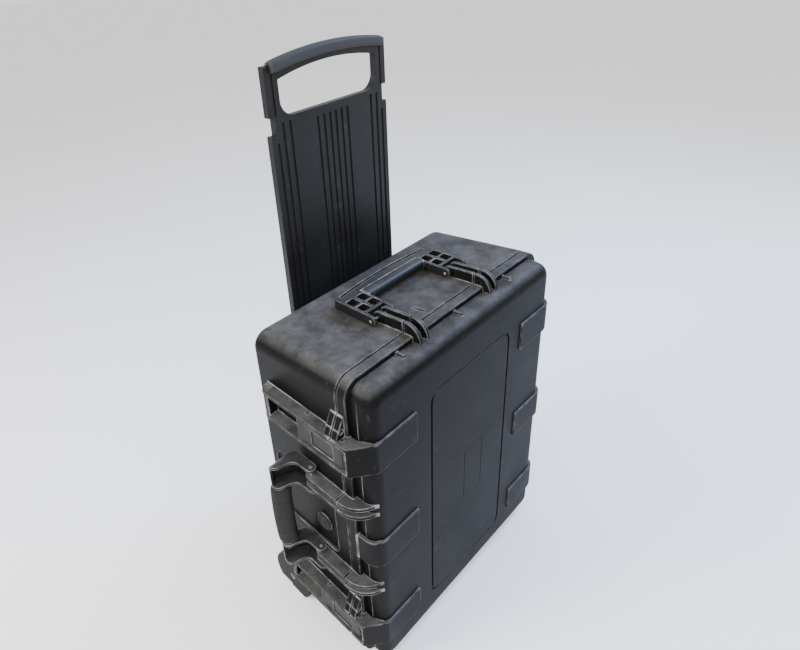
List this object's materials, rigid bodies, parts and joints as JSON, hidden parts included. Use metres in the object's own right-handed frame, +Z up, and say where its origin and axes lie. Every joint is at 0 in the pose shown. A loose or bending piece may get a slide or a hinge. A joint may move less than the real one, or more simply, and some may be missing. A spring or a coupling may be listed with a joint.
{
  "type": "drone carrying case",
  "caption": "Upright wheeled waterproof hard case with a hinged lid, lever latches, folding carry handles, a sliding plate handle and cut foam.",
  "frame": {"origin": "middle of the footprint on the floor, with the case standing on its short end", "axes": "+Z up along the case's length and the trolley handle's travel, -Y towards the lid's face, -X towards the latches, +X towards the lid hinge"},
  "size_m": [0.5748, 0.2986, 1.0275],
  "materials": {
    "shell_plastic": "moulded matt black plastic with a fine texture",
    "handle_plastic": "moulded satin black plastic",
    "rubber": "soft black rubber",
    "steel": "bright stainless steel",
    "foam": "dark grey open cell foam"
  },
  "bodies": {
    "case": {"base_shell": "shell_plastic", "base_foam": "foam", "base_pad": "foam", "strike_pin_upper": "steel", "strike_pin_lower": "steel", "hinge_pin_lower": "steel", "hinge_pin_middle": "steel", "hinge_pin_upper": "steel", "top_handle_pin_left": "steel", "top_handle_pin_right": "steel", "side_handle_pin_lower": "steel", "side_handle_pin_upper": "steel", "trolley_rail_left": "handle_plastic", "trolley_rail_right": "handle_plastic", "rail_screw_left_1": "steel", "rail_screw_left_2": "steel", "rail_screw_right_1": "steel", "rail_screw_right_2": "steel", "wheel_axle_left": "steel", "wheel_axle_right": "steel", "foot_left": "rubber", "foot_right": "rubber", "valve_body": "handle_plastic", "valve_cap": "rubber", "valve_seal": "rubber", "valve_nut": "rubber"},
    "lid": {"lid_shell": "shell_plastic", "lid_foam": "foam", "lid_gasket": "rubber", "latch_pin_upper": "steel", "latch_pin_lower": "steel"},
    "top_handle": {"top_handle": "handle_plastic"},
    "side_handle": {"side_handle": "handle_plastic", "side_handle_grip": "rubber"},
    "trolley_plate": {"trolley_handle": "handle_plastic", "trolley_grip": "rubber"},
    "lock_left": {"trolley_lock_left": "handle_plastic"},
    "lock_right": {"trolley_lock_right": "handle_plastic"},
    "wheel_left": {"wheel_tyre_left": "rubber", "wheel_hub_left": "handle_plastic", "wheel_bush_left": "steel"},
    "wheel_right": {"wheel_tyre_right": "rubber", "wheel_hub_right": "handle_plastic", "wheel_bush_right": "steel"},
    "latch_lever_upper": {"latch_lever_upper": "handle_plastic", "claw_pin_upper": "steel"},
    "latch_claw_upper": {"latch_claw_upper": "steel"},
    "latch_lever_lower": {"latch_lever_lower": "handle_plastic", "claw_pin_lower": "steel"},
    "latch_claw_lower": {"latch_claw_lower": "steel"}
  },
  "joints": [
    {"name": "lid_hinge", "type": "hinge", "parent": "case", "child": "lid", "pos_m": [0.27942, -0.09075, 0.3195], "axis": [0, 0, 1], "range_deg": [0, 110]},
    {"name": "latch_upper_lever", "type": "hinge", "parent": "lid", "child": "latch_lever_upper", "pos_m": [-0.23808, -0.10575, 0.5135], "axis": [0, 0, 1], "range_deg": [0, 100]},
    {"name": "latch_upper_claw", "type": "hinge", "parent": "latch_lever_upper", "child": "latch_claw_upper", "pos_m": [-0.23858, -0.07575, 0.5135], "axis": [0, 0, 1], "range_deg": [0, 4]},
    {"name": "latch_lower_lever", "type": "hinge", "parent": "lid", "child": "latch_lever_lower", "pos_m": [-0.23808, -0.10575, 0.1035], "axis": [0, 0, 1], "range_deg": [0, 100]},
    {"name": "latch_lower_claw", "type": "hinge", "parent": "latch_lever_lower", "child": "latch_claw_lower", "pos_m": [-0.23858, -0.07575, 0.1035], "axis": [0, 0, 1], "range_deg": [0, 4]},
    {"name": "top_handle_swing", "type": "hinge", "parent": "case", "child": "top_handle", "pos_m": [0.01992, -0.04075, 0.6395], "axis": [1, 0, 0], "range_deg": [0, 95]},
    {"name": "side_handle_swing", "type": "hinge", "parent": "case", "child": "side_handle", "pos_m": [-0.24058, -0.02675, 0.313], "axis": [0, 0, 1], "range_deg": [0, 90]},
    {"name": "trolley_slide", "type": "slide", "parent": "case", "child": "trolley_plate", "axis": [0, 0, 1], "range_m": [-0.375, 0]},
    {"name": "lock_left_slide", "type": "slide", "parent": "case", "child": "lock_left", "axis": [1, 0, 0], "range_m": [0, 0.009]},
    {"name": "lock_right_slide", "type": "slide", "parent": "case", "child": "lock_right", "axis": [-1, 0, 0], "range_m": [0, 0.009]},
    {"name": "wheel_left_spin", "type": "hinge", "parent": "case", "child": "wheel_left", "pos_m": [-0.21707, 0.08625, 0.04], "axis": [1, 0, 0], "continuous": true},
    {"name": "wheel_right_spin", "type": "hinge", "parent": "case", "child": "wheel_right", "pos_m": [0.25693, 0.08625, 0.04], "axis": [1, 0, 0], "continuous": true}
  ]
}
